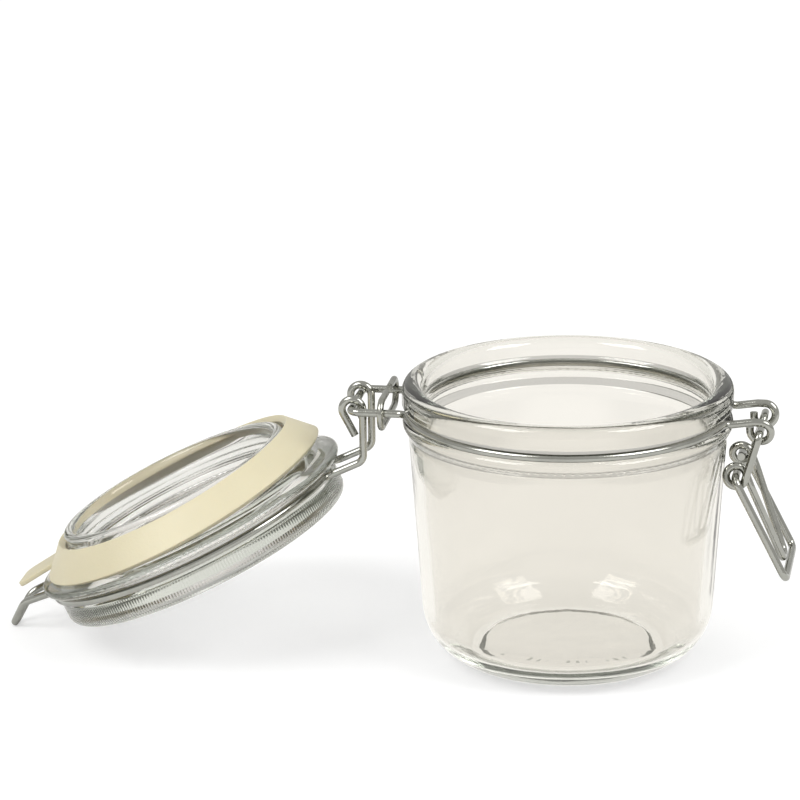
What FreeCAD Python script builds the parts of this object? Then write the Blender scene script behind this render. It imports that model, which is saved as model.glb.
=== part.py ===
import FreeCAD, Part
import math
import os
from FreeCAD import Vector

# Clip-top preserving jar, open, with its lid hanging from the hinge and its lever and link hanging
# from the neck wire. Millimetres, +Z up, origin on the table at the centre of the foot, clasp towards
# +X and hinge towards -X. The lid is drawn shut on the jar and then swung open about the hinge.

# --- Wire and running clearances ---
wire_d = 2.3                  # sprung steel wire of neck band, lid band, lever and link
tie_wire_d = 2.0              # softer wire of the tie that holds the two hinge legs
pivot_clearance = 0.3         # least gap between a hook and the bar it hangs on
side_clearance = 0.35         # gap between wires of different pieces that pass each other
seat_clearance = 0.05         # gap between a band and the glass groove it sits in
groove_room = 0.35            # glass groove wider than its wire, above and below
edge_break = 0.9              # soft corners of collar, bead and flange

# --- Jar glass ---
jar_height = 84.8
collar_radius = 48.8          # band of glass above the neck wire
lip_radius = 3.1              # round of the rim, in section
mouth_radius = 42.4
lip_flat = 1.6                # outer part of the rim before it rounds into the collar
neck_step = 0.2               # bore narrower again below the lip
neck_drop = 8.9               # rim down to the neck wire's centre
band_radius = 47.85           # centre line of the neck wire round the groove
bead_radius = 48.6            # bead just under the neck wire
bead_height = 5.3
bead_bulge = 0.6              # pull of the bead's curve past its edges
bead_blend = 1.8              # how softly it leaves the wall
wall_top_radius = 47.0        # outside of the body where it meets the bead
wall_bottom_radius = 43.3     # outside of the body where the heel starts
wall_thickness = 3.3
shoulder_inside = 10.0        # height over which the bore widens from neck to body
heel_height = 16.5
heel_rise = 13.3              # how far the heel's curve follows the wall down
heel_spread = 2.5             # how far it runs out along the table
floor_round = 7.0             # inside corner of the floor
foot_radius = 28.0            # outer edge of the flat ring that the jar stands on
foot_width = 2.5
foot_rise = 1.2               # hollow under the base
base_thickness = 4.8

# --- Lid glass, its seal and its band (heights are measured from the lid band's plane) ---
lid_band_radius = 46.4
lid_side_radius = 46.1        # upright side above the band
lid_top_height = 9.8
lid_edge_round = 3.2
stack_radius = 39.0           # shallow well in the top, for stacking
stack_depth = 2.6
flange_radius = 49.3
flange_thickness = 3.2
plug_radius = 36.6
plug_drop = 16.4
plug_wall = 3.3
plug_draft = 1.0              # bore of the plug narrower at its top
recess_round = 3.0
lid_panel = 6.6               # glass between the stacking well and the underside
seal_radius = 45.25           # outer edge of the rubber ring
seal_edge_drop = 6.7
seal_inner_drop = 14.4
seal_thickness = 2.2
seal_sag = 1.15               # how far the rubber is dished between its edges
seal_slant = 0.75             # face stands off the plug by this share of the thickness
seal_gap = 0.2                # rubber clear of the rim when the lid is shut
tab_width = 14.0
tab_thickness = 1.5           # pull tab where it passes between rim and flange
tab_flap = 5.5                # free end of the tab, past the flange
tab_lift = 38.0               # its slant away from the jar, degrees
tab_end_round = 3.0

# --- Hinge ---
hinge_reach = 63.0            # jar axis to the hinge bar
hinge_half_width = 12.0
hinge_corner = 2.6
band_bend = 3.2               # bend where a leg leaves a band
clasp_bend = 2.6              # the same on the clasp side, where legs stand wider
hook_radius = 3.1
hook_spread = 7.5             # each hook from the middle plane
hook_wrap = 208.0             # degrees of turn over the bar
hook_tail = 7.4
shank_lean = 25.6             # shank from square to the lid, degrees
shank_bend = 3.0
tie_reach = 53.6
tie_half_height = 4.1
tie_corner = 3.7
tie_drop = 0.5
tie_gap = 6.0                 # opening along the top of the tie

# --- Tongue of the lid band ---
tongue_reach = 65.5           # lid axis to the tip
tongue_rise = 5.3             # tip above the band's plane when shut
tongue_root = 8.0
tongue_tip_half = 2.0
tongue_tip_round = 1.7
tongue_knee_reach = 58.5
tongue_knee_half = 4.6
tongue_bend = 6.0

# --- Clasp ---
eye_x = 57.3                  # axis on which the lever turns
eye_radius = 3.1
eye_rise = 0.9                # leg at the eye above the neck wire's plane
eye_leg_level = 1.2           # level run of that leg before it rises
eye_leg_ramp = 6.0
eye_half_width = 8.3
eye_tail = 1.0
ring_x = 50.6                 # axis on which the link turns, with the lever down
ring_z = 60.7
ring_radius = 2.85
lever_tip_x = 64.1
lever_tip_z = 33.15
lever_tip_half = 2.9
lever_tip_round = 2.4
lever_knee = 5.0              # straight wire below each ring before the handle draws in
lever_knee_bend = 8.0
lever_corner = 1.8
lever_tail = 5.0
link_x = 65.8
link_z = 30.9
link_corner = 2.4
link_end_past_ring = 1.3

# --- Worked out from the sizes above ---
wire_r = wire_d / 2
tie_r = tie_wire_d / 2
neck_z = jar_height - neck_drop
pivot = Vector(-hinge_reach, 0, neck_z)
coil_step = wire_d + 0.1      # sideways step of one turn of wire
groove_radius = band_radius - wire_r - seat_clearance
lid_groove_radius = lid_band_radius - wire_r - seat_clearance
lip_centre_r = mouth_radius + lip_radius
lip_centre_z = jar_height - lip_radius
eye_z = neck_z + eye_rise - eye_radius
eye_leg_y = eye_half_width + coil_step / 2
eye_tail_y = eye_half_width - coil_step / 2
arm_y = eye_leg_y + wire_d + side_clearance
lever_leg_y = arm_y - coil_step
lever_tail_y = eye_tail_y - wire_d - side_clearance
link_y = arm_y + wire_d + side_clearance


def on_section(r, z):
    """Point of a turned section in the XZ plane."""
    return Vector(r, 0, z)


def turned(edges):
    """Solid of revolution about Z from the closed outline of a half section."""
    face = Part.Face(Part.Wire(edges))
    return face.revolve(Vector(0, 0, 0), Vector(0, 0, 1), 360)


def line(start, end):
    return Part.makeLine(start, end)


def arc(start, middle, end):
    return Part.Arc(start, middle, end).toShape()


def smooth(*poles):
    """Bezier curve that leaves and arrives along its outer pole pairs."""
    curve = Part.BezierCurve()
    curve.setPoles(list(poles))
    return curve.toShape()


def corner_arc(before, corner, after, radius):
    """Start, middle and end of the arc that rounds a corner of a wire."""
    way_in = (corner - before).normalize()
    way_out = (after - corner).normalize()
    turn = way_in.getAngle(way_out)
    reach = radius * math.tan(turn / 2)
    inward = (way_out - way_in).normalize()
    centre = corner + inward * (radius / math.cos(turn / 2))
    return corner - way_in * reach, centre - inward * radius, corner + way_out * reach


def bent(points, radii):
    """Edges of a wire that runs through points, each inner corner rounded by its own radius."""
    edges = []
    here = points[0]
    for index, radius in enumerate(radii, start=1):
        start, middle, end = corner_arc(points[index - 1], points[index], points[index + 1], radius)
        if (start - here).Length > 1e-6:
            edges.append(line(here, start))
        edges.append(arc(start, middle, end))
        here = end
    edges.append(line(here, points[-1]))
    return edges


def ring_point(radius, degrees, z):
    angle = math.radians(degrees)
    return Vector(radius * math.cos(angle), radius * math.sin(angle), z)


def band_arc(radius, z, start_deg, end_deg):
    """Stretch of a level band, from one angle to another."""
    middle = (start_deg + end_deg) / 2
    return arc(ring_point(radius, start_deg, z), ring_point(radius, middle, z), ring_point(radius, end_deg, z))


def leave_angle(radius, leg_y, bend):
    """Degrees from the X axis at which a band starts to turn out into a leg at leg_y."""
    return math.degrees(math.asin((leg_y + 1.3 * bend) / radius))


def leave_corner(radius, degrees, z, forward, leg_y):
    """Corner where the band's tangent meets the leg that runs out at leg_y on the near side."""
    point = ring_point(radius, degrees, z)
    angle = math.radians(degrees)
    tangent = Vector(-math.sin(angle), math.cos(angle), 0) * forward
    return point + tangent * ((-leg_y - point.y) / tangent.y)


def coil(centre_x, centre_z, radius, start_deg, end_deg, y_start, y_end):
    """Turn of wire about an axis along Y, stepping smoothly sideways from y_start to y_end."""
    steps = max(8, round(abs(end_deg - start_deg) / 15))
    points = []
    for index in range(steps + 1):
        share = index / steps
        angle = math.radians(start_deg + (end_deg - start_deg) * share)
        y = y_start + (y_end - y_start) * share * share * (3 - 2 * share)
        points.append(Vector(centre_x + radius * math.cos(angle), y, centre_z + radius * math.sin(angle)))
    curve = Part.BSplineCurve()
    curve.interpolate(Points=points)
    return curve.toShape()


def tangent_degrees(centre_x, centre_z, radius, x, z, side):
    """Angle on a circle in the XZ plane where a line from (x, z) touches it."""
    direction = math.degrees(math.atan2(z - centre_z, x - centre_x))
    spread = math.degrees(math.acos(radius / math.hypot(x - centre_x, z - centre_z)))
    return direction + side * spread


def on_circle(centre_x, centre_z, radius, degrees, y):
    angle = math.radians(degrees)
    return Vector(centre_x + radius * math.cos(angle), y, centre_z + radius * math.sin(angle))


def wire_solid(edges, radius):
    """Round wire swept along joined edges."""
    path = Part.Wire(edges)
    first = edges[0]
    start = first.valueAt(first.FirstParameter)
    direction = first.tangentAt(first.FirstParameter)
    profile = Part.Wire([Part.makeCircle(radius, start, direction)])
    return path.makePipeShell([profile], True, False)


def both_sides(near_half):
    """A wire piece whole again from its near half, which ends square on the middle plane."""
    far_half = near_half.mirror(Vector(0, 0, 0), Vector(0, 1, 0))
    return near_half.fuse(far_half).removeSplitter()


def jar_glass():
    """Rounded rim and collar, groove for the neck wire, bead, tapering body, heel and foot ring."""
    groove_top = neck_z + wire_r + groove_room
    groove_low = neck_z - wire_r - groove_room
    groove_half = wire_r / 2
    bead_z = groove_low - bead_height
    taper = (wall_top_radius - wall_bottom_radius) / (bead_z - heel_height)
    neck_inner = mouth_radius - neck_step
    shoulder_top = neck_z
    shoulder_low = shoulder_top - shoulder_inside
    floor_z = foot_rise + base_thickness
    inner_low_z = floor_z + floor_round
    inner_low_r = wall_bottom_radius - wall_thickness - taper * (heel_height - inner_low_z)
    inner_top_r = inner_low_r + taper * (shoulder_low - inner_low_z)
    corner_pull = floor_round * 0.55
    lip_diagonal = lip_radius * math.sqrt(0.5)
    swell = bead_radius + bead_bulge
    foot_in = on_section(foot_radius - foot_width, 0)
    foot_out = on_section(foot_radius, 0)
    hollow = on_section(0, foot_rise)
    hollow_edge = on_section(foot_in.x - foot_rise, foot_rise)
    heel_top = on_section(wall_bottom_radius, heel_height)
    bead_low = on_section(wall_top_radius, bead_z)
    bead_high = on_section(bead_radius - edge_break, groove_low)
    groove_in_low = on_section(groove_radius, neck_z - groove_half)
    groove_in_high = on_section(groove_radius, neck_z + groove_half)
    collar_low = on_section(collar_radius - edge_break, groove_top)
    collar = on_section(collar_radius, groove_top + edge_break)
    rim_out = on_section(collar_radius, lip_centre_z)
    rim_top = on_section(lip_centre_r, jar_height)
    rim_in = on_section(lip_centre_r - lip_diagonal, lip_centre_z + lip_diagonal)
    mouth = on_section(mouth_radius, lip_centre_z)
    neck_in = on_section(neck_inner, shoulder_top)
    body_in = on_section(inner_top_r, shoulder_low)
    wall_in = on_section(inner_low_r, inner_low_z)
    floor_out = on_section(inner_low_r - floor_round, floor_z)
    floor = on_section(0, floor_z)
    outline = [
        line(hollow, hollow_edge),
        line(hollow_edge, foot_in),
        line(foot_in, foot_out),
        smooth(foot_out, on_section(foot_radius + heel_spread, 0),
               on_section(wall_bottom_radius - taper * heel_rise, heel_height - heel_rise), heel_top),
        line(heel_top, bead_low),
        smooth(bead_low, on_section(wall_top_radius + taper * bead_blend, bead_z + bead_blend),
               on_section(swell, bead_z + bead_blend), on_section(swell, groove_low - bead_blend / 2),
               bead_high),
        line(bead_high, groove_in_low),
        line(groove_in_low, groove_in_high),
        line(groove_in_high, collar_low),
        line(collar_low, collar),
        line(collar, rim_out),
        smooth(rim_out, on_section(collar_radius, (lip_centre_z + 3 * jar_height) / 4),
               on_section(lip_centre_r + lip_flat, jar_height), rim_top),
        arc(rim_top, rim_in, mouth),
        line(mouth, neck_in),
        smooth(neck_in, on_section(neck_inner, shoulder_top - shoulder_inside / 3),
               on_section(inner_top_r + taper * shoulder_inside / 3, shoulder_low + shoulder_inside / 3),
               body_in),
        line(body_in, wall_in),
        smooth(wall_in, on_section(inner_low_r - taper * corner_pull, inner_low_z - corner_pull),
               on_section(floor_out.x + corner_pull, floor_z), floor_out),
        line(floor_out, floor),
        line(floor, hollow),
    ]
    return turned(outline)


def neck_wire():
    """One wire: hinge bar and legs, the band round the neck, and an eye at each end."""
    hinge_leave = leave_angle(band_radius, hinge_half_width, band_bend)
    clasp_leave = leave_angle(band_radius, eye_leg_y, band_bend)
    band_start = 180 + hinge_leave
    band_end = 360 - clasp_leave
    hinge_side = bent(
        [Vector(-hinge_reach, 0, neck_z),
         Vector(-hinge_reach, -hinge_half_width, neck_z),
         leave_corner(band_radius, band_start, neck_z, 1, hinge_half_width),
         ring_point(band_radius, band_start, neck_z)],
        [hinge_corner, band_bend])
    band = band_arc(band_radius, neck_z, band_start, band_end)
    leg_top = neck_z + eye_rise
    ramp_x = band_radius + eye_leg_level
    clasp_side = bent(
        [ring_point(band_radius, band_end, neck_z),
         leave_corner(band_radius, band_end, neck_z, 1, eye_leg_y),
         Vector(ramp_x, -eye_leg_y, neck_z),
         Vector(ramp_x + eye_leg_ramp, -eye_leg_y, leg_top),
         Vector(eye_x, -eye_leg_y, leg_top)],
        [clasp_bend, band_bend, band_bend])
    eye = coil(eye_x, eye_z, eye_radius, 90, -180, -eye_leg_y, -eye_tail_y)
    tail = line(Vector(eye_x - eye_radius, -eye_tail_y, eye_z),
                Vector(eye_x - eye_radius, -eye_tail_y, eye_z + eye_tail))
    return both_sides(wire_solid(hinge_side + [band] + clasp_side + [eye, tail], wire_r))


def hinge_tie():
    """Soft wire ring wrapped round both hinge legs close to the neck, open along its top."""
    half_width = hinge_half_width + wire_r + tie_r + seat_clearance
    middle_z = neck_z - tie_drop
    low = middle_z - tie_half_height
    high = middle_z + tie_half_height
    x = -tie_reach
    path = bent(
        [Vector(x, 0, low), Vector(x, -half_width, low), Vector(x, -half_width, high),
         Vector(x, -tie_gap / 2, high)],
        [tie_corner, tie_corner])
    return both_sides(wire_solid(path, tie_r))


def lever():
    """Tapered handle, a ring of wire on each side for the link, and arms hooked in the eyes."""
    turn_in = tangent_degrees(ring_x, ring_z, ring_radius, lever_tip_x, lever_tip_z, 1)
    turn_out = tangent_degrees(ring_x, ring_z, ring_radius, eye_x, eye_z, -1) + 360
    ring_in = on_circle(ring_x, ring_z, ring_radius, turn_in, -lever_leg_y)
    ring_out = on_circle(ring_x, ring_z, ring_radius, turn_out, -arm_y)
    tip = Vector(lever_tip_x, -lever_tip_half, lever_tip_z)
    handle_way = (Vector(tip.x, 0, tip.z) - Vector(ring_in.x, 0, ring_in.z)).normalize()
    knee = ring_in + handle_way * lever_knee
    handle = bent([Vector(lever_tip_x, 0, lever_tip_z), tip, knee, ring_in],
                  [lever_tip_round, lever_knee_bend])
    ring = coil(ring_x, ring_z, ring_radius, turn_in, turn_out, -lever_leg_y, -arm_y)
    arm_way = (Vector(eye_x, 0, eye_z) - Vector(ring_out.x, 0, ring_out.z)).normalize()
    arm = bent(
        [ring_out,
         Vector(eye_x, -arm_y, eye_z),
         Vector(eye_x, -lever_tail_y, eye_z),
         Vector(eye_x, -lever_tail_y, eye_z) - arm_way * lever_tail],
        [lever_corner, lever_corner])
    return both_sides(wire_solid(handle + [ring] + arm, wire_r))


def link():
    """Long loop whose ends turn inwards through the lever's rings."""
    end_y = lever_leg_y - wire_r - link_end_past_ring
    path = bent(
        [Vector(link_x, 0, link_z),
         Vector(link_x, -link_y, link_z),
         Vector(ring_x, -link_y, ring_z),
         Vector(ring_x, -end_y, ring_z)],
        [link_corner, link_corner])
    return both_sides(wire_solid(path, wire_r))


def seal_outline():
    """Dished section of the rubber ring: outer, middle and inner points of its face, and its back."""
    outer = on_section(seal_radius, -seal_edge_drop)
    inner = on_section(plug_radius + seal_thickness * seal_slant, -seal_inner_drop)
    along = (inner - outer).normalize()
    back = Vector(along.z, 0, -along.x)
    middle = (outer + inner) * 0.5 + back * seal_sag
    return outer, middle, inner, back * seal_thickness


def shut_plane():
    """Height of the lid band's plane at which the dished rubber just clears the round rim."""
    outer, middle, inner, _ = seal_outline()
    face = Part.Arc(outer, middle, inner).toShape()
    high = jar_height + seal_inner_drop
    low = jar_height
    for _ in range(40):
        trial = (high + low) / 2
        rim = Part.Vertex(lip_centre_r, 0, lip_centre_z - trial)
        if face.distToShape(rim)[0] - lip_radius > seal_gap:
            high = trial
        else:
            low = trial
    return high


def lid_glass():
    """Solid glass lid about the Z axis, its band's plane at height zero."""
    outer, middle, inner, back = seal_outline()
    seat_out = outer + back
    seat_in = inner + back
    side = lid_side_radius
    groove_half = wire_r + groove_room
    groove_flat = wire_r / 2
    side_low = groove_half + edge_break / 2
    round_z = lid_top_height - lid_edge_round
    corner = lid_edge_round * math.sqrt(0.5)
    flange_mid = -groove_half - flange_thickness / 2
    flange_low = -groove_half - flange_thickness
    seat_edge = on_section(seal_radius, seat_out.z)
    nose = plug_wall / 2
    nose_z = nose - plug_drop
    bore = plug_radius - plug_wall
    well = lid_top_height - stack_depth
    roof = well - lid_panel
    outline = [
        line(on_section(0, well), on_section(stack_radius - stack_depth, well)),
        line(on_section(stack_radius - stack_depth, well), on_section(stack_radius, lid_top_height)),
        line(on_section(stack_radius, lid_top_height), on_section(side - lid_edge_round, lid_top_height)),
        arc(on_section(side - lid_edge_round, lid_top_height),
            on_section(side - lid_edge_round + corner, round_z + corner), on_section(side, round_z)),
        line(on_section(side, round_z), on_section(side, side_low)),
        line(on_section(side, side_low), on_section(lid_groove_radius, groove_flat)),
        line(on_section(lid_groove_radius, groove_flat), on_section(lid_groove_radius, -groove_flat)),
        line(on_section(lid_groove_radius, -groove_flat), on_section(side, -groove_half)),
        smooth(on_section(side, -groove_half), on_section(flange_radius - edge_break, -groove_half),
               on_section(flange_radius, flange_mid + edge_break), on_section(flange_radius, flange_mid)),
        smooth(on_section(flange_radius, flange_mid), on_section(flange_radius, flange_low),
               on_section(flange_radius - edge_break, flange_low), seat_edge),
        line(seat_edge, seat_out),
        arc(seat_out, middle + back, seat_in),
        line(seat_in, on_section(plug_radius, seat_in.z)),
        line(on_section(plug_radius, seat_in.z), on_section(plug_radius, nose_z)),
        arc(on_section(plug_radius, nose_z), on_section(plug_radius - nose, -plug_drop),
            on_section(bore, nose_z)),
        line(on_section(bore, nose_z), on_section(bore - plug_draft, roof - recess_round)),
        smooth(on_section(bore - plug_draft, roof - recess_round), on_section(bore - plug_draft, roof),
               on_section(bore - plug_draft, roof), on_section(bore - plug_draft - recess_round, roof)),
        line(on_section(bore - plug_draft - recess_round, roof), on_section(0, roof)),
        line(on_section(0, roof), on_section(0, well)),
    ]
    return turned(outline)


def gasket():
    """Rubber ring dished over the plug, with a pull tab out between the rim and the flange."""
    outer, middle, inner, back = seal_outline()
    seat_out = outer + back
    ring = turned([
        arc(outer, middle, inner),
        line(inner, inner + back),
        arc(inner + back, middle + back, seat_out),
        line(seat_out, outer),
    ])
    low = jar_height - shut_plane() + seal_gap
    high = low + tab_thickness
    root = seat_out.x - 2 * seal_gap
    slant = math.radians(tab_lift)
    flap_way = Vector(math.cos(slant), 0, math.sin(slant))
    across = Vector(-flap_way.z, 0, flap_way.x) * seal_thickness
    elbow = on_section(flange_radius + 2 * edge_break, low)
    elbow_back = elbow + across + flap_way * ((tab_thickness - across.z) / flap_way.z)
    tip = elbow + flap_way * tab_flap
    section = Part.makePolygon([
        on_section(root, low), elbow, tip, tip + across, elbow_back, on_section(root, high),
        on_section(root, low)])
    tab = Part.Face(section).extrude(Vector(0, tab_width, 0))
    tab.translate(Vector(0, -tab_width / 2, 0))
    end_middle = tip + across * 0.5
    corners = [edge for edge in tab.Edges
               if (edge.CenterOfMass - end_middle).cross(Vector(0, 1, 0)).Length < 1e-6
               and abs(edge.CenterOfMass.y) > tab_width / 4]
    tab = tab.makeFillet(tab_end_round, corners)
    return ring.fuse(tab).removeSplitter()


def lid_wire():
    """One wire: the tongue, the band in the lid's groove, two legs and the hooks over the bar."""
    hinge_leave = leave_angle(lid_band_radius, hook_spread, band_bend)
    tongue_leave = leave_angle(lid_band_radius, tongue_root, band_bend * 0.6)
    band_start = 360 - tongue_leave
    band_end = 180 + hinge_leave
    tongue_corner = leave_corner(lid_band_radius, band_start, 0, 1, tongue_root)
    tongue = bent(
        [Vector(tongue_reach, 0, tongue_rise),
         Vector(tongue_reach, -tongue_tip_half, tongue_rise),
         Vector(tongue_knee_reach, -tongue_knee_half, 0),
         tongue_corner,
         ring_point(lid_band_radius, band_start, 0)],
        [tongue_tip_round, tongue_bend, band_bend * 0.8])
    band = band_arc(lid_band_radius, 0, band_start, band_end)
    lean = math.radians(shank_lean)
    down_shank = Vector(math.sin(lean), 0, math.cos(lean))
    beside = Vector(-math.cos(lean), 0, math.sin(lean))
    bar = Vector(-hinge_reach, 0, neck_z - shut_plane())
    hang = hook_radius - wire_r - wire_r - pivot_clearance
    hook_centre = bar + down_shank * hang
    shank_top = hook_centre + beside * hook_radius
    run = -shank_top.z / down_shank.z
    shank_foot = shank_top + down_shank * run
    side = Vector(0, -hook_spread, 0)
    legs = bent(
        [ring_point(lid_band_radius, band_end, 0),
         leave_corner(lid_band_radius, band_end, 0, -1, hook_spread),
         shank_foot + side,
         shank_top + side],
        [band_bend, shank_bend])
    half_wrap = math.radians(hook_wrap / 2)
    wrap = math.radians(hook_wrap)
    over = down_shank * -1

    def on_hook(angle):
        return hook_centre + beside * (hook_radius * math.cos(angle)) + over * (hook_radius * math.sin(angle))

    hook = arc(shank_top + side, on_hook(half_wrap) + side, on_hook(wrap) + side)
    tail_way = beside * -math.sin(wrap) + over * math.cos(wrap)
    hook_end = on_hook(wrap) + side
    tail = line(hook_end, hook_end + tail_way * hook_tail)
    return both_sides(wire_solid(tongue + [band] + legs + [hook, tail], wire_r))


def open_degrees():
    """Opening at which the tongue's tip comes down on the table."""
    along = hinge_reach + tongue_reach
    above = shut_plane() + tongue_rise - neck_z
    drop = neck_z - wire_r
    return 180 + math.degrees(math.asin(drop / math.hypot(along, above)) - math.atan2(above, along))


def hung_open(shape):
    """Lid piece lifted onto the shut jar, then swung back about the hinge bar."""
    placed = shape.copy()
    placed.translate(Vector(0, 0, shut_plane()))
    placed.rotate(pivot, Vector(0, 1, 0), -open_degrees())
    return placed


pieces = {
    "jar_glass": jar_glass(),
    "neck_wire": neck_wire(),
    "hinge_tie": hinge_tie(),
    "lid_glass": hung_open(lid_glass()),
    "gasket": hung_open(gasket()),
    "lid_wire": hung_open(lid_wire()),
    "lever": lever(),
    "link": link(),
}

os.makedirs("parts", exist_ok=True)
for name, shape in pieces.items():
    shape.exportStep("parts/" + name + ".step")
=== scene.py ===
import bmesh
import bpy
import math
from mathutils import Matrix, Vector


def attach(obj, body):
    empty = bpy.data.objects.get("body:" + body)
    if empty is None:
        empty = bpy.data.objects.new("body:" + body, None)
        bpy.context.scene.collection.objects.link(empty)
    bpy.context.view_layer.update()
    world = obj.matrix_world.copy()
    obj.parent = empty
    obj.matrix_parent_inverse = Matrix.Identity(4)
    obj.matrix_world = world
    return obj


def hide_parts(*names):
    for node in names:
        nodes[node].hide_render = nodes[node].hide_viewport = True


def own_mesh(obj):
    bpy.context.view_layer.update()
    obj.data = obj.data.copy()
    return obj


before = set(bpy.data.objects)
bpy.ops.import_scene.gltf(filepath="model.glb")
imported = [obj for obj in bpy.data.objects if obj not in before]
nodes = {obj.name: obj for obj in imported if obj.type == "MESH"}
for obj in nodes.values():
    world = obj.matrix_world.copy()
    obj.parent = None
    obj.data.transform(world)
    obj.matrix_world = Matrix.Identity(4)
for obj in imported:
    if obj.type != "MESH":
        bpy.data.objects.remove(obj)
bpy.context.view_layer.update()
scene = bpy.context.scene
mm = 0.001

# The lid's own frame: its axis along Z with the band's plane at zero, shut on the jar, then swung open.
hinge = Vector((-63.0, 0.0, 75.9)) * mm
shut_height = 91.9538 * mm
open_turn = math.radians(-205.5836)
lid_place = (Matrix.Translation(hinge) @ Matrix.Rotation(open_turn, 4, "Y")
             @ Matrix.Translation(Vector((0, 0, shut_height)) - hinge))

# Rubber ring, in the lid's frame: corners as radius and height in millimetres.
band_corners = [(46.3, -6.8), (39.0, -14.9), (37.3, -13.4), (44.7, -5.45)]
band_rounding = 0.35
tab_corners = [(43.4, -9.3), (57.2, -7.3), (57.0, -5.9), (43.2, -7.9)]
tab_width = 14 * mm
tab_tip_radius = 3 * mm
tab_edge_radius = 0.3 * mm
slip_reach = 45 * mm
slip_tilt = 2.1 * mm
slip_bow = 1.1 * mm

# Finishes
jar_tint = (0.903, 0.888, 0.858, 1)
lid_tint = (0.94, 0.93, 0.925, 1)
thick_glass = (0.52, 0.58, 0.50, 1)
stain_color = (0.25, 0.26, 0.22, 1)
steel = (0.44, 0.44, 0.40, 1)
tie_steel = (0.42, 0.42, 0.38, 1)
cream = (0.63, 0.575, 0.405, 1)
deep_cream = (0.60, 0.545, 0.38, 1)

# Studio: level directions of the view, and the tones that glass and metal meet round it.
view_right = (0.986, 0.165, 0)
view_ahead = (-0.165, 0.986, 0)
pale_tone = (0.71, 0.70, 0.675, 1)
dim_reflected = (0.08, 0.085, 0.07, 1)
dim_through_glass = (0.66, 0.67, 0.63, 1)
white = (1, 1, 1, 1)
far_white = (1.3, 1.3, 1.3, 1)
world_light = (0.62, 0.62, 0.61, 1)


class Socket:
    """A shader socket: arithmetic on it adds Math nodes, and node() adds any other kind."""

    def __init__(self, tree, out=None):
        self.tree = tree
        self.out = out

    def node(self, kind, settings=(), inputs=(), output=0):
        made = self.tree.nodes.new(kind)
        for name, value in dict(settings).items():
            setattr(made, name, value)
        for name, value in dict(inputs).items():
            if isinstance(value, Socket):
                self.tree.links.new(value.out, made.inputs[name])
            else:
                made.inputs[name].default_value = value
        return Socket(self.tree, made.outputs[output])

    def math(self, operation, first, second=0.0):
        return self.node("ShaderNodeMath", {"operation": operation}, {0: first, 1: second})

    def vector(self, operation, first, second, output=0):
        return self.node("ShaderNodeVectorMath", {"operation": operation}, {0: first, 1: second}, output)

    def __add__(self, other):
        return self.math("ADD", self, other)

    def __radd__(self, other):
        return self.math("ADD", other, self)

    def __sub__(self, other):
        return self.math("SUBTRACT", self, other)

    def __rsub__(self, other):
        return self.math("SUBTRACT", other, self)

    def __mul__(self, other):
        return self.math("MULTIPLY", self, other)

    def __rmul__(self, other):
        return self.math("MULTIPLY", other, self)

    def __pow__(self, other):
        return self.math("POWER", self, other)

    def along(self, axis):
        """One coordinate of this place: 0 for X, 1 for Y, 2 for Z."""
        return self.node("ShaderNodeSeparateXYZ", {}, {0: self}, axis)

    def smooth(self, low, high):
        """0 below low, 1 above high, smooth between."""
        return self.node("ShaderNodeMapRange", {"interpolation_type": "SMOOTHSTEP"},
                         {"Value": self, "From Min": low, "From Max": high})

    def between(self, low, high, edge):
        """1 between low and high, with a smooth edge inside each of them, and 0 outside."""
        return self.smooth(low, low + edge) * (1 - self.smooth(high - edge, high))

    def blend(self, first, second):
        """Colour from first to second as this socket goes from 0 to 1."""
        return self.node("ShaderNodeMix", {"data_type": "RGBA"}, {0: self, 6: first, 7: second}, 2)


def new_material(name):
    """Empty material, its tree as a Socket to start from, and its output node."""
    material = bpy.data.materials.new(name)
    material.use_nodes = True
    tree = material.node_tree
    tree.nodes.clear()
    output = tree.nodes.new("ShaderNodeOutputMaterial")
    return material, Socket(tree), output


def surface(start, output, inputs):
    """Principled surface with these inputs, joined to the material's output."""
    shader = start.node("ShaderNodeBsdfPrincipled", {}, inputs)
    start.tree.links.new(shader.out, output.inputs["Surface"])


def object_place(start):
    return start.node("ShaderNodeTexCoord", {}, {}, 3)


def noise(start, place, scale, detail):
    return start.node("ShaderNodeTexNoise", {}, {"Vector": place, "Scale": scale, "Detail": detail})


def bump(start, height, distance, under=None):
    """Normal of this height, over the normal of a coarser relief if there is one."""
    inputs = {"Height": height, "Distance": distance, "Strength": 1.0}
    if under is not None:
        inputs["Normal"] = under
    return start.node("ShaderNodeBump", {}, inputs)


def darker(color, share):
    return tuple(part * share for part in color[:3]) + (1,)


def axis_parts(start, place):
    """Distance from the Z axis, angle about it and height of a place."""
    x, y, z = (place.along(axis) for axis in range(3))
    return (x * x + y * y) ** 0.5, start.math("ARCTAN2", y, x), z


def clear_glass(name, tint, ripple_height, relief=None, stain=None):
    """Pressed clear glass: faint tint, slow ripples and upright streaks, moulded relief and dark marks."""
    material, start, output = new_material(name)
    place = object_place(start)
    upright = start.vector("MULTIPLY", place, (1, 1, 0.12))
    waves = noise(start, place, 45.0, 1.0) + noise(start, upright, 110.0, 1.0) * 0.5
    normal = bump(start, waves + noise(start, place, 300.0, 2.0) * 0.08, ripple_height)
    if relief is not None:
        normal = bump(start, relief(start, place), 0.1 * mm, normal)
    color = noise(start, place, 20.0, 2.0).smooth(0.3, 0.7).blend(tint, darker(tint, 0.985))
    if stain is not None:
        color = stain(start, place).blend(color, stain_color)
    surface(start, output, {
        "Base Color": color,
        "Roughness": 0.0,
        "Transmission Weight": 1.0,
        "IOR": 1.5,
        "Normal": normal,
    })
    depth = start.node("ShaderNodeVolumeAbsorption", {}, {"Color": thick_glass, "Density": 8.0})
    start.tree.links.new(depth.out, output.inputs["Volume"])
    return material


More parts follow.
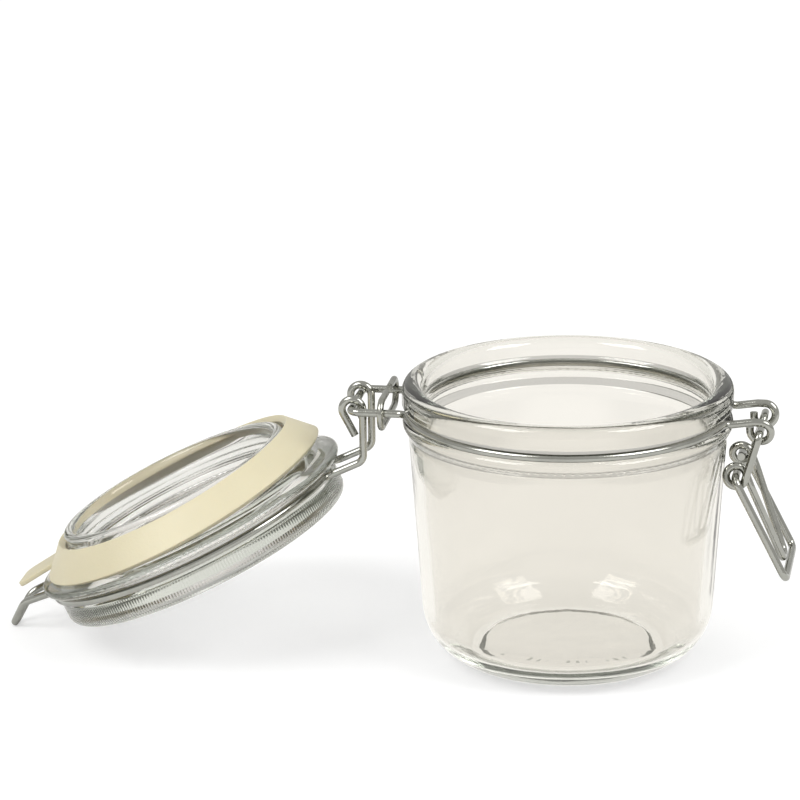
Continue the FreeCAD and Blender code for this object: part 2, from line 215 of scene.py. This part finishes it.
def foot_marks(start, place):
    """Short dark marks, unevenly spaced, on a flat arc along the front of the base."""
    arc_center = (0, 15.5 * mm, 0)
    radius, angle, height = axis_parts(start, start.vector("SUBTRACT", place, arc_center))
    dashes = start.math("SINE", angle * 70.0).smooth(0.1, 0.6)
    kept = start.math("SINE", angle * 17.0 + 0.6).smooth(-0.3, 0.2)
    arc = radius.between(30.2 * mm, 33.8 * mm, 0.6 * mm)
    stretch = place.along(0).between(-19 * mm, 24 * mm, 2 * mm)
    low = 1 - height.smooth(2.5 * mm, 3.5 * mm)
    front = angle.smooth(-0.2, -0.3)
    return dashes * kept * arc * stretch * low * front


def edge_knurl(start, place):
    """Fine upright ribs round the side of the lid's dome."""
    turn = lid_place.inverted()
    lid = start.node("ShaderNodeMapping", {}, {
        "Vector": place, "Location": turn.to_translation(), "Rotation": turn.to_euler()})
    radius, angle, height = axis_parts(start, lid)
    ribs = start.math("SINE", angle * 300.0) * 0.45
    side = height.smooth(2.2 * mm, 3.0 * mm) * (1 - height.smooth(8.2 * mm, 9.2 * mm))
    return ribs * side * radius.smooth(44.0 * mm, 45.0 * mm)


def bright_wire(name, color, dull):
    """Drawn steel wire: fine grain, slightly uneven colour and gloss."""
    material, start, output = new_material(name)
    place = object_place(start)
    patches = noise(start, place, 140.0, 4.0)
    grain = noise(start, place, 2200.0, 2.0)
    surface(start, output, {
        "Base Color": patches.smooth(0.35, 0.7).blend(color, darker(color, 0.86)),
        "Metallic": 1.0,
        "Roughness": patches * 0.14 + dull,
        "Normal": bump(start, grain * 0.4 + patches * 0.6, 0.06 * mm),
    })
    return material


def cream_rubber():
    """Moulded rubber: cream, fine matt grain, faint cloudiness."""
    material, start, output = new_material("cream_rubber")
    place = object_place(start)
    cloud = noise(start, place, 30.0, 3.0)
    grain = noise(start, place, 1500.0, 3.0)
    surface(start, output, {
        "Base Color": cloud.smooth(0.3, 0.7).blend(cream, deep_cream),
        "Roughness": cloud * 0.12 + 0.42,
        "Subsurface Weight": 0.1,
        "Subsurface Radius": (0.004, 0.003, 0.0015),
        "Subsurface Scale": 0.5,
        "Normal": bump(start, grain, 0.08 * mm),
    })
    return material


def dress(node, material):
    data = nodes[node].data
    data.materials.clear()
    data.materials.append(material)


def outline(mesh, corners, rounding=0.0):
    """Closed outline of corners (radius, height) in millimetres in the XZ plane, its corners rounded."""
    verts = [mesh.verts.new((radius * mm, 0, height * mm)) for radius, height in corners]
    for index, vert in enumerate(verts):
        mesh.edges.new((verts[index - 1], vert))
    if rounding:
        bmesh.ops.bevel(mesh, geom=verts, offset=rounding * mm, segments=4, profile=0.5,
                        affect="VERTICES", material=-1)


def ring_band():
    """Flat cone of rubber with round edges, spun about the lid's axis."""
    band = bmesh.new()
    outline(band, band_corners, band_rounding)
    long_edges = [edge for edge in band.edges if edge.calc_length() > 4 * mm]
    bmesh.ops.subdivide_edges(band, edges=long_edges, cuts=6)
    bmesh.ops.spin(band, geom=band.verts[:] + band.edges[:], cent=(0, 0, 0), axis=(0, 0, 1),
                   angle=2 * math.pi, steps=180, use_merge=True)
    return band


def pull_tab():
    """Flat tongue of rubber on the clasp side, its tip rounded and its edges softened."""
    tab = bmesh.new()
    outline(tab, tab_corners)
    face = bmesh.ops.contextual_create(tab, geom=tab.edges[:])["faces"]
    bmesh.ops.translate(tab, vec=(0, -tab_width / 2, 0), verts=tab.verts[:])
    far_side = bmesh.ops.extrude_face_region(tab, geom=face)["geom"]
    bmesh.ops.translate(tab, vec=(0, tab_width, 0),
                        verts=[part for part in far_side if isinstance(part, bmesh.types.BMVert)])
    tips = [edge for edge in tab.edges
            if abs(edge.verts[0].co.y - edge.verts[1].co.y) < 1e-6
            and min(vert.co.x for vert in edge.verts) > 54 * mm]
    bmesh.ops.bevel(tab, geom=tips, offset=tab_tip_radius, segments=6, profile=0.5,
                    affect="EDGES", material=-1)
    bmesh.ops.recalc_face_normals(tab, faces=tab.faces[:])
    rims = [edge for edge in tab.edges
            if edge.is_manifold and edge.calc_face_angle() > math.radians(60)]
    bmesh.ops.bevel(tab, geom=rims, offset=tab_edge_radius, segments=3, profile=0.5,
                    affect="EDGES", material=-1)
    return tab


def finished(mesh, name, place):
    """Object of this bmesh at the origin, its place in its mesh, smooth but for its sharp edges."""
    bmesh.ops.recalc_face_normals(mesh, faces=mesh.faces[:])
    bmesh.ops.transform(mesh, matrix=place, verts=mesh.verts[:])
    data = bpy.data.meshes.new(name)
    mesh.to_mesh(data)
    mesh.free()
    data.shade_smooth()
    data.set_sharp_from_angle(angle=math.radians(50))
    piece = bpy.data.objects.new(name, data)
    scene.collection.objects.link(piece)
    return piece


def seal_ring():
    """Rubber ring stretched over the plug, slipped further along it at the hinge, and its pull tab."""
    mesh = ring_band()
    tab = pull_tab()
    tab_data = bpy.data.meshes.new("tab")
    tab.to_mesh(tab_data)
    tab.free()
    mesh.from_mesh(tab_data)
    bpy.data.meshes.remove(tab_data)
    for vert in mesh.verts:
        back = max(-1.0, min(1.0, -vert.co.x / slip_reach))
        vert.co.z -= slip_tilt * back + slip_bow * back * back
    ring = finished(mesh, "seal_ring", lid_place)
    ring.data.materials.append(cream_rubber())
    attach(ring, "lid")
    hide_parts("gasket")
    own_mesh(ring)


def ray_share(start, *kinds):
    """1 for these kinds of ray, 0 for the rest."""
    outputs = {"camera": 0, "glossy": 4, "transmission": 7}
    total = None
    for kind in kinds:
        one = start.node("ShaderNodeLightPath", {}, {}, outputs[kind])
        total = one if total is None else start.math("MAXIMUM", total, one)
    return total


def studio_tone(start, way, narrow, wide, high):
    """What glass and metal meet in a direction or place: pale straight ahead, dim to the sides."""
    across = start.vector("DOT_PRODUCT", way, view_right, 1)
    ahead = start.vector("DOT_PRODUCT", way, view_ahead, 1)
    pale = 1 - (across * across).smooth(narrow * narrow, wide * wide)
    pale = pale * (1 - way.along(2).smooth(high, high + 0.3)) * ahead.smooth(-3 * wide, -3 * narrow)
    dim = ray_share(start, "transmission").blend(dim_reflected, dim_through_glass)
    return pale.blend(dim, pale_tone)


def white_floor():
    """Floor that the view sees as white with a light shadow, and glass and metal as the studio's tones."""
    bpy.ops.mesh.primitive_plane_add(size=8)
    floor = bpy.context.object
    floor.name = "floor"
    material, start, output = new_material("pale_floor")
    place = object_place(start)
    tone = studio_tone(start, place, 0.10, 0.26, 1.0)
    distance, _, _ = axis_parts(start, place)
    seen = distance.smooth(0.4, 1.6).blend(white, far_white)
    color = ray_share(start, "camera").blend(tone, seen)
    matt = start.node("ShaderNodeBsdfDiffuse", {}, {"Color": (0.80, 0.80, 0.80, 1)})
    glow = start.node("ShaderNodeEmission", {}, {"Color": color, "Strength": 1.5})
    share = start.math("MAXIMUM", ray_share(start, "camera") * 0.36, ray_share(start, "transmission") * 0.75)
    share = start.math("MAXIMUM", share, ray_share(start, "glossy"))
    mixed = start.node("ShaderNodeMixShader", {}, {0: share, 1: matt, 2: glow})
    start.tree.links.new(mixed.out, output.inputs["Surface"])
    floor.data.materials.append(material)


def studio_world():
    """White to the view, the studio's tones to glass and metal, an even light to the rest."""
    world = bpy.data.worlds.new("studio")
    scene.world = world
    world.use_nodes = True
    tree = world.node_tree
    tree.nodes.clear()
    output = tree.nodes.new("ShaderNodeOutputWorld")
    start = Socket(tree)
    direction = start.node("ShaderNodeTexCoord", {}, {}, 0)
    around = studio_tone(start, direction, 0.35, 0.75, 0.5)
    lit = ray_share(start, "glossy", "transmission").blend(world_light, around)
    color = ray_share(start, "camera").blend(lit, white)
    background = start.node("ShaderNodeBackground", {}, {"Color": color, "Strength": 1.0})
    tree.links.new(background.out, output.inputs["Surface"])


def softbox(name, azimuth):
    """Square lamp, above and facing the object; azimuth 0 is in front, 90 to the right."""
    side = 0.8
    distance = 1.6
    radiance = 6.0
    elevation = math.radians(45)
    azimuth = math.radians(azimuth)
    lamp = bpy.data.lights.new(name, "AREA")
    lamp.shape = "RECTANGLE"
    lamp.size = side
    lamp.size_y = side
    lamp.energy = radiance * math.pi * side * side
    lamp_object = bpy.data.objects.new(name, lamp)
    scene.collection.objects.link(lamp_object)
    away = Vector((math.sin(azimuth) * math.cos(elevation),
                   -math.cos(azimuth) * math.cos(elevation),
                   math.sin(elevation)))
    target = Vector((0, 0, 0.04))
    lamp_object.location = target + away * distance
    lamp_object.rotation_euler = away.to_track_quat("Z", "Y").to_euler()


def camera():
    data = bpy.data.cameras.new("camera")
    data.lens = 188.76
    data.sensor_width = 36.0
    data.clip_start = 0.05
    data.clip_end = 50.0
    seen = bpy.data.objects.new("camera", data)
    scene.collection.objects.link(seen)
    place = Vector((0.14508, -1.16914, 0.44477))
    yaw, pitch, roll = math.radians(9.4725), math.radians(17.2606), math.radians(-0.6171)
    turn = (Matrix.Rotation(yaw, 4, "Z") @ Matrix.Rotation(math.pi / 2 - pitch, 4, "X")
            @ Matrix.Rotation(roll, 4, "Z"))
    seen.matrix_world = Matrix.Translation(place) @ turn
    scene.camera = seen


dress("jar_glass", clear_glass("jar_glass", jar_tint, 0.12 * mm, stain=foot_marks))
dress("lid_glass", clear_glass("lid_glass", lid_tint, 0.05 * mm, relief=edge_knurl))
wire = bright_wire("bright_wire", steel, 0.08)
for name in ("neck_wire", "lid_wire", "lever", "link"):
    dress(name, wire)
dress("hinge_tie", bright_wire("tie_wire", tie_steel, 0.18))
seal_ring()

white_floor()
studio_world()
softbox("softbox_right", 66)
softbox("softbox_left", -48)
scene.cycles.max_bounces = 32
scene.cycles.transmission_bounces = 32
scene.cycles.glossy_bounces = 16
camera()
scene.view_settings.view_transform = "Standard"
